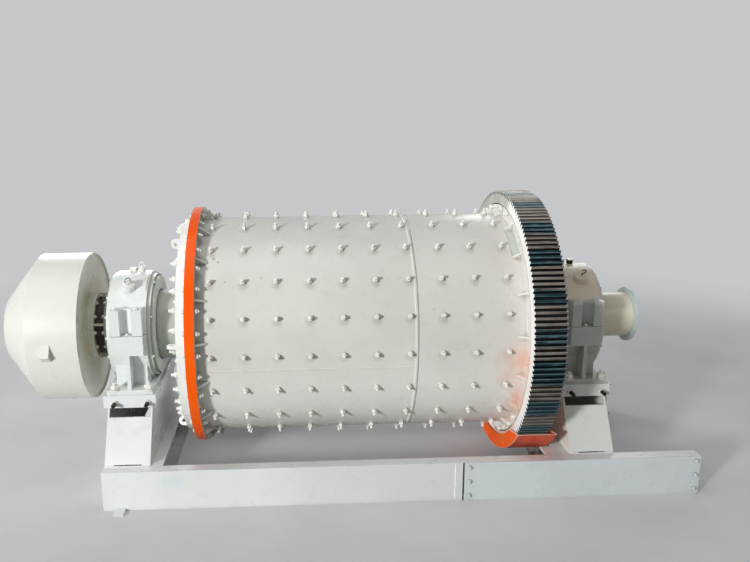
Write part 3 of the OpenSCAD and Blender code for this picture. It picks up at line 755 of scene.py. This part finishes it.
def look(name):
    """A node's own material, or else that of the first word in its name."""
    if name in OWN_LOOK:
        return OWN_LOOK[name]
    return next((material for word, material in LOOK_BY_WORD.items() if word in name), GREY)


for name, node in NODES.items():
    node.data.materials.clear()
    node.data.materials.append(look(name))


# Fasteners on the mill body

def liner_bolts():
    made = Build()
    shape = nutted(across=0.031, height=0.020, stud_r=0.0095, stud_h=0.043, washer_r=0.0185, washer_t=0.003)
    for c in range(COLUMNS):
        for r in range(ROWS):
            deg = FIRST_ROW - r * ROW_PITCH
            place = on_drum(SHELL_X + FIRST_COLUMN + c * COLUMN_PITCH, SHELL_R, deg)
            lean = Vector((rng.uniform(-0.05, 0.05), 0, 0))
            made.add(shape, towards(place, outward(deg) + lean, nut_turn()))
    made.done("liner_bolts", "drum", "grey_paint", BOLT)


def feed_end_bolts():
    """Bolts through the feed flange, and the longer studs on the head's face in three like groups."""
    made = Build()
    inner = nutted(across=0.030, height=0.019, stud_r=0.0095, stud_h=0.034, washer_r=0.018, washer_t=0.003)
    outer = nutted(across=0.034, height=0.022, stud_r=0.011, stud_h=0.046, washer_r=0.020, washer_t=0.004)
    bolt_head = merged(nut(0.030, 0.016), washer(0.018, 0.003))
    count, circle_r = 36, 0.795
    for i in range(count):
        deg = i * 360 / count
        made.add(inner, side_nut(FLANGE_IN, circle_r, deg, 1))
        made.add(bolt_head, side_nut(FLANGE_OUT, circle_r - 0.008, deg, -1))
    rim_degs = (77, 47.8, 38.4, 31.6, 21.4, 11.1, 0.5, -12.7, -22, -31.3, -38)
    slope_degs = (55, 27.3, -6.8, -34.3)
    for group in (0, 120, 240):
        for deg in rim_degs:
            made.add(outer, side_nut(HEAD_X, 0.70, deg + group, -1))
        for deg in slope_degs:
            made.add(outer, side_nut(HEAD_X + 0.02, 0.645, deg + group, -1))
    made.done("feed_end_bolts", "drum", "grey_paint", BOLT)


def lifting_lugs():
    """Six plates with an eye on the head's rim, each welded along both sides."""
    made = Build()
    shape = eye_plate(reach=0.062, half=0.034, hole=0.013, thick=0.020)
    feed_way = Vector((-1, 0, 0))
    for deg in range(63, 423, 60):
        out = outward(deg)
        across = out.cross(feed_way)
        stand = Matrix((out, across, feed_way)).transposed().to_4x4()
        made.add(shape, Matrix.Translation(on_drum(HEAD_X + 0.001, 0.70, deg)) @ stand)
        for s in (-1, 1):
            start = on_drum(HEAD_X, 0.668, deg) + across * 0.011 * s
            made.add(straight_bead(start, start + out * 0.064, feed_way + across * s, 0.008, 0.004))
    made.done("lifting_lugs", "drum", "grey_paint", WHITE)


def gear_joint_bolts():
    """Two rows of nuts on the drive flange, where the halves of the gear meet."""
    made = Build()
    shape = nutted(across=0.030, height=0.018, stud_r=0.009, stud_h=0.030, washer_r=0.017, washer_t=0.003)
    for start in (75, 255):
        for i in range(8):
            made.add(shape, side_nut(GEAR_X, 0.800, start + i * 9, -1))
    made.done("gear_joint_bolts", "drum", "grey_paint", BOLT)


def feeder_neck_nuts():
    made = Build()
    shape = nutted(across=0.022, height=0.013, stud_r=0.007, stud_h=0.018)
    lo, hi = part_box("feeder_neck")
    for deg in range(0, 360, 30):
        made.add(shape, side_nut(lo.x, 0.2125, deg, 1))
        made.add(shape, side_nut(hi.x, 0.2125, deg, -1))
    made.done("feeder_neck_nuts", "drum", "warm_paint", CREAM)


def mill_welds():
    """The round seam, one seam along each course, and the fillets at the flanges and the feeder."""
    made = Build()
    made.add(round_bead(SEAM_X, SHELL_R, 0, 0.026, 0.006, step=0.005, pitch=0.016))
    for x0, x1, deg in ((FLANGE_IN + 0.002, SEAM_X, -9.2), (SEAM_X, GEAR_X, 150)):
        start, end = on_drum(x0, SHELL_R, deg), on_drum(x1, SHELL_R, deg)
        made.add(straight_bead(start, end, outward(deg), 0.012, 0.0028, step=0.005, pitch=0.014))
    made.add(round_bead(FLANGE_IN, SHELL_R, 45, 0.014, 0.006, step=0.006, pitch=0.016))
    made.add(round_bead(GEAR_X, SHELL_R, -45, 0.014, 0.006, step=0.006, pitch=0.016))
    made.done("shell_welds", "drum", "grey_paint", SHELL)

    feeder = Build()
    feeder.add(round_bead(PLATE_X, 0.2275, 45, 0.012, 0.005, step=0.005))
    feeder.add(round_bead(PLATE_X, 0.505, -45, 0.010, 0.004, step=0.006))
    feeder.done("feeder_welds", "drum", "warm_paint", CREAM)


# Bearings

def recess_fill(width, depth, curve):
    """Outline that rounds one inner corner of a recess, with its wall at width / 2 and its back at depth."""
    wall = width / 2
    steps = 12
    turns = [math.pi / 2 * i / steps for i in range(steps + 1)]
    arc = [(wall - curve + curve * math.sin(a), depth - curve + curve * math.cos(a)) for a in turns]
    return [(wall, depth)] + arc


def bearing_fasteners(prefix, out, shift):
    """Anchor nuts, cap nuts, plugs and cover screws. out is +1 or -1: the way along X to the outer side."""
    made = Build()
    centre = middle_x(prefix + "_bearing_base")
    foot = low(prefix + "_bearing_base").z
    anchor = nutted(across=0.048, height=0.030, stud_r=0.015, stud_h=0.052, washer_r=0.034, washer_t=0.006)
    dome = lathe([(0.012, 0.012), (0.011, 0.020), (0.007, 0.025), (0.002, 0.0265)], 14)
    cap_nut = merged(nut(0.030, 0.016), washer(0.019, 0.003), dome)
    for sx in (-1, 1):
        for sy in (-1, 1):
            place = Vector((centre + 0.012 + sx * 0.112, sy * 0.424, foot + 0.03))
            made.add(anchor, towards(place, (0, 0, 1), nut_turn()))
            place = Vector((centre + shift + sx * 0.070, sy * 0.405, AXIS + 0.205))
            made.add(cap_nut, towards(place, (0, 0, 1), nut_turn()))
    plug = lathe([(0.012, 0.0), (0.012, 0.003), (0.010, 0.009), (0.006, 0.012), (0.002, 0.013)], 18)
    for sy in (-1, 1):
        made.add(plug, Matrix.Translation((centre, sy * 0.400, AXIS + JOINT_Z)))

    screw = merged(nut(0.018, 0.010), washer(0.011, 0.002))
    outer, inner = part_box(prefix + "_bearing_outer_cover"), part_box(prefix + "_bearing_inner_cover")
    face_out = outer[0].x if out < 0 else outer[1].x
    face_in = inner[1].x - 0.017 if out < 0 else inner[0].x + 0.017
    for i in range(16):
        made.add(screw, side_nut(face_out, 0.358, i * 22.5, out))
    for i in range(8):
        deg = 22.5 + i * 45
        if math.sin(math.radians(deg)) * 0.355 > foot + 0.05 - AXIS:
            made.add(screw, side_nut(face_in, 0.3545, deg, -out))
    made.done(prefix + "_bearing_fasteners", "frame", "grey_paint", BOLT)


def recess_curves(prefix):
    """The round corners of the recesses in the shoulders."""
    made = Build()
    centre = middle_x(prefix + "_bearing_base")
    corner = recess_fill(0.082, 0.060, 0.041)
    for sy in (-1, 1):
        for sx in (-1, 1):
            outline = [(centre + sx * x, sy * (0.430 - y)) for x, y in corner]
            if sx * sy > 0:
                outline = outline[::-1]
            made.add(prism(outline, AXIS + JOINT_Z + SINK, AXIS + JOINT_Z + 0.1745))
    made.done(prefix + "_recess_curves", "frame", "grey_paint", HOUSING)


def jack_screws(prefix):
    """Dark screws through the lugs of the sole plate, with a painted nut on each."""
    screws = Build()
    nuts = Build()
    centre = middle_x(prefix + "_bearing_base")
    for sx in (-1, 1):
        for sy in (-1, 1):
            place = Vector((centre + 0.010 + sx * 0.108, sy * 0.46, AXIS - 0.422))
            shape = lathe([(0.0135, -0.002), (0.0135, 0.058), (0.011, 0.062)], 18)
            screws.add(shape, towards(place, (0, sy, 0)))
            nuts.add(nut(0.040, 0.014), towards(place, (0, sy, 0), nut_turn()))
    screws.done(prefix + "_jack_screws", "frame", "dark_steel", STEEL)
    nuts.done(prefix + "_jack_nuts", "frame", "grey_paint", BOLT)


def cap_details():
    """Plugs, wire rings and eyes on the bearing caps."""
    plugs = Build()
    wires = Build()
    dark_plug = Build()
    out = outward(BOSS_ANGLE)
    boss_top = on_drum(FEED_X, 0.430, BOSS_ANGLE)
    collar = lathe([(0.030, -0.001), (0.030, 0.004), (0.027, 0.007)], 28)
    square = block((-0.014, -0.014, 0.006), (0.014, 0.014, 0.026), 0.002)
    plugs.add(merged(collar, square), towards(boss_top, out, 0.5))
    wires.add(hoop(0.020, 0.0030), towards(boss_top + out * 0.014, out, 0.7))

    cap_top = AXIS + 0.380
    plugs.add(block((FEED_X - 0.036, -0.020, cap_top), (FEED_X + 0.012, 0.020, cap_top + 0.030), 0.004))
    plugs.add(hoop(0.016, 0.0042), towards(Vector((FEED_X + 0.046, 0, cap_top + 0.036)), (0, 0, 1)))

    plug_x = DRIVE_X + 0.015
    shank = lathe([(0.022, -0.004), (0.022, 0.022), (0.019, 0.026)], 20)
    dark_plug.add(shank, Matrix.Translation((plug_x, 0, cap_top + 0.004)))
    lid = lathe([(0.031, 0.0), (0.032, 0.005), (0.029, 0.009)], 6)
    plugs.add(lid, Matrix.Translation((plug_x, 0, cap_top + 0.0285)))

    hook = [Vector((0.006, 0.0, -0.004)), Vector((0.010, 0.0, 0.012))]
    turns = [math.radians(-120 + 25 * i) for i in range(12)]
    hook += [Vector((0.012 + 0.016 * math.cos(a), 0.0, 0.036 + 0.016 * math.sin(a))) for a in turns]
    wires.add(tube(hook, 0.0042), towards(on_drum(DRIVE_X, 0.431, BOSS_ANGLE), out))
    wires.done("cap_wires", "frame", "dark_steel", WIRE)
    plugs.done("cap_plugs", "frame", "grey_paint", BOLT)
    dark_plug.done("discharge_cap_plug", "frame", "dark_steel", STEEL)


# Base

def cover_plate_bolts():
    made = Build()
    lo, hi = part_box("base_cover_plate")
    shape = nutted(across=0.026, height=0.014, stud_r=0.008, stud_h=0.021, washer_r=0.0165, washer_t=0.003)
    for x in (lo.x + 0.028, hi.x - 0.033):
        for z in (0.040, 0.139, 0.2365):
            made.add(shape, towards(Vector((x, lo.y, z)), (0, -1, 0), nut_turn()))
    made.done("cover_plate_bolts", "frame", "grey_paint", PLATE_BOLT)


def base_welds():
    """Fillets round the pedestals' feet, and along the splice strips."""
    made = Build()
    top = high("base_front_beam").z
    for side in ("feed", "discharge"):
        lo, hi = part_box(side + "_pedestal")
        for sy in (-1, 1):
            y = hi.y * sy
            start, end = (lo.x + 0.004, y, top), (hi.x - 0.004, y, top)
            made.add(straight_bead(start, end, (0, sy * 0.6, 1), 0.012, 0.005))
            for x, way in ((lo.x, -1), (hi.x, 1)):
                start, end = (x, y - sy * 0.01, top), (x, y - sy * 0.12, top)
                made.add(straight_bead(start, end, (way, 0, 1), 0.010, 0.004))
    made.done("base_welds", "frame", "grey_paint", COOL)

    strips = Build()
    lo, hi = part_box("base_splice_strips")
    inset = 0.012
    for sy in (-1, 1):
        y = sy * (hi.y - 0.0065)
        strips.add(straight_bead((lo.x, y, inset), (lo.x, y, hi.z - inset), (-1, sy, 0), 0.010, 0.004))
    strips.done("splice_welds", "frame", "grey_paint", WHITE)


liner_bolts()
feed_end_bolts()
lifting_lugs()
gear_joint_bolts()
feeder_neck_nuts()
mill_welds()
for prefix, out, shift in (("feed", -1, 0.0), ("discharge", 1, -0.014)):
    bearing_fasteners(prefix, out, shift)
    recess_curves(prefix)
    jack_screws(prefix)
cap_details()
cover_plate_bolts()
base_welds()


# Floor, camera and light

BACKDROP = (0.56, 0.57, 0.585)


def seen_rays(tree):
    """1 for the rays that show the backdrop: camera, glossy and transmission rays."""
    path = tree.nodes.new("ShaderNodeLightPath")
    total = path.outputs["Is Camera Ray"]
    for kind in ("Is Glossy Ray", "Is Transmission Ray"):
        either = tree.nodes.new("ShaderNodeMath")
        either.operation = "MAXIMUM"
        tree.links.new(total, either.inputs[0])
        tree.links.new(path.outputs[kind], either.inputs[1])
        total = either.outputs[0]
    return total


def pale_floor():
    """A matt floor that fades into the backdrop away from the mill."""
    t = Tree("pale_floor", 0.9, spec=0.0)
    grain = t.mottle(1.1, (190, 191, 191), (198, 199, 199), detail=4)
    fade = t.span(t.far(t.x, t.y), 2.6, 10.0)
    t.done(t.mix(fade, grain, (0.0, 0.0, 0.0)))
    t.put(t.bsdf.inputs["Emission Color"], BACKDROP)
    glow = t.span(fade, 0.0, 1.0, 0.16, 1.0)
    t.put(t.bsdf.inputs["Emission Strength"], t.times(glow, seen_rays(t.nt)))
    mesh = bpy.data.meshes.new("floor")
    half = 60.0
    corners = [(-half, -half, 0), (half, -half, 0), (half, half, 0), (-half, half, 0)]
    mesh.from_pydata(corners, [], [[0, 1, 2, 3]])
    mesh.materials.append(t.mat)
    floor = bpy.data.objects.new("floor", mesh)
    bpy.context.scene.collection.objects.link(floor)


def photo_camera():
    """The camera at the photograph's place. Its focal length and centre are in pixels of the photograph."""
    width, focal = 750, 738.69
    centre_x, centre_y, half_width, half_height = 322.18, 293.99, 375, 281
    yaw, pitch, roll = 0.0427, 0.2273, 0.0101
    data = bpy.data.cameras.new("camera")
    made = bpy.data.objects.new("camera", data)
    bpy.context.scene.collection.objects.link(made)
    bpy.context.scene.camera = made
    ahead = Vector((math.sin(yaw) * math.cos(pitch), math.cos(yaw) * math.cos(pitch), -math.sin(pitch)))
    level = Vector((math.cos(yaw), -math.sin(yaw), 0))
    down = ahead.cross(level)
    right_way = level * math.cos(roll) + down * math.sin(roll)
    down_way = down * math.cos(roll) - level * math.sin(roll)
    turn = Matrix((right_way, -down_way, -ahead)).transposed().to_4x4()
    made.matrix_world = Matrix.Translation((-0.370, -5.155, 2.443)) @ turn
    data.sensor_width = 36.0
    data.lens = focal / width * 36
    data.shift_x = (half_width - centre_x) / width
    data.shift_y = (centre_y - half_height) / width


def lamp(name, place, aim, size, power, colour=(1, 1, 1)):
    data = bpy.data.lights.new(name, "AREA")
    data.shape = "DISK"
    data.size = size
    data.energy = power
    data.color = colour
    made = bpy.data.objects.new(name, data)
    bpy.context.scene.collection.objects.link(made)
    made.location = place
    made.rotation_mode = "QUATERNION"
    made.rotation_quaternion = (Vector(aim) - Vector(place)).to_track_quat("-Z", "Y")


def soft_sky():
    """A sky that is brighter towards the feed end, behind an even backdrop."""
    world = bpy.data.worlds.new("soft_sky")
    bpy.context.scene.world = world
    world.use_nodes = True
    nodes, links = world.node_tree.nodes, world.node_tree.links
    nodes.clear()
    facing = nodes.new("ShaderNodeSeparateXYZ")
    links.new(nodes.new("ShaderNodeTexCoord").outputs["Generated"], facing.inputs[0])
    strength = nodes.new("ShaderNodeMapRange")
    strength.interpolation_type = "SMOOTHSTEP"
    links.new(facing.outputs[0], strength.inputs[0])
    for i, value in enumerate((-0.5, 0.5, 0.38, 0.07)):
        strength.inputs[i + 1].default_value = value
    sky = nodes.new("ShaderNodeBackground")
    sky.inputs[0].default_value = (0.95, 0.97, 1.0, 1)
    links.new(strength.outputs[0], sky.inputs[1])
    seen = nodes.new("ShaderNodeBackground")
    seen.inputs[0].default_value = (*BACKDROP, 1)
    seen.inputs[1].default_value = 1.0
    pick = nodes.new("ShaderNodeMixShader")
    links.new(seen_rays(world.node_tree), pick.inputs[0])
    links.new(sky.outputs[0], pick.inputs[1])
    links.new(seen.outputs[0], pick.inputs[2])
    links.new(pick.outputs[0], nodes.new("ShaderNodeOutputWorld").inputs[0])


pale_floor()
photo_camera()
lamp("key", (-10.6, -12.9, 4.6), (0.3, 0, 1.0), 2.0, 2200)
lamp("overhead", (-1.4, -1.2, 6.5), (0, 0, 1), 4.0, 70)
lamp("back_left", (-3.4, 5.5, 3.6), (-0.5, 0, 1.4), 3.0, 130)
lamp("back_right", (3.6, 5.5, 4.2), (1.0, 0, 1.2), 3.0, 80)
lamp("right_fill", (3.9, -2.9, 2.4), (1.75, 0, 1.15), 1.8, 13, (1.0, 0.93, 0.83))
soft_sky()
bpy.context.scene.view_settings.view_transform = "Standard"
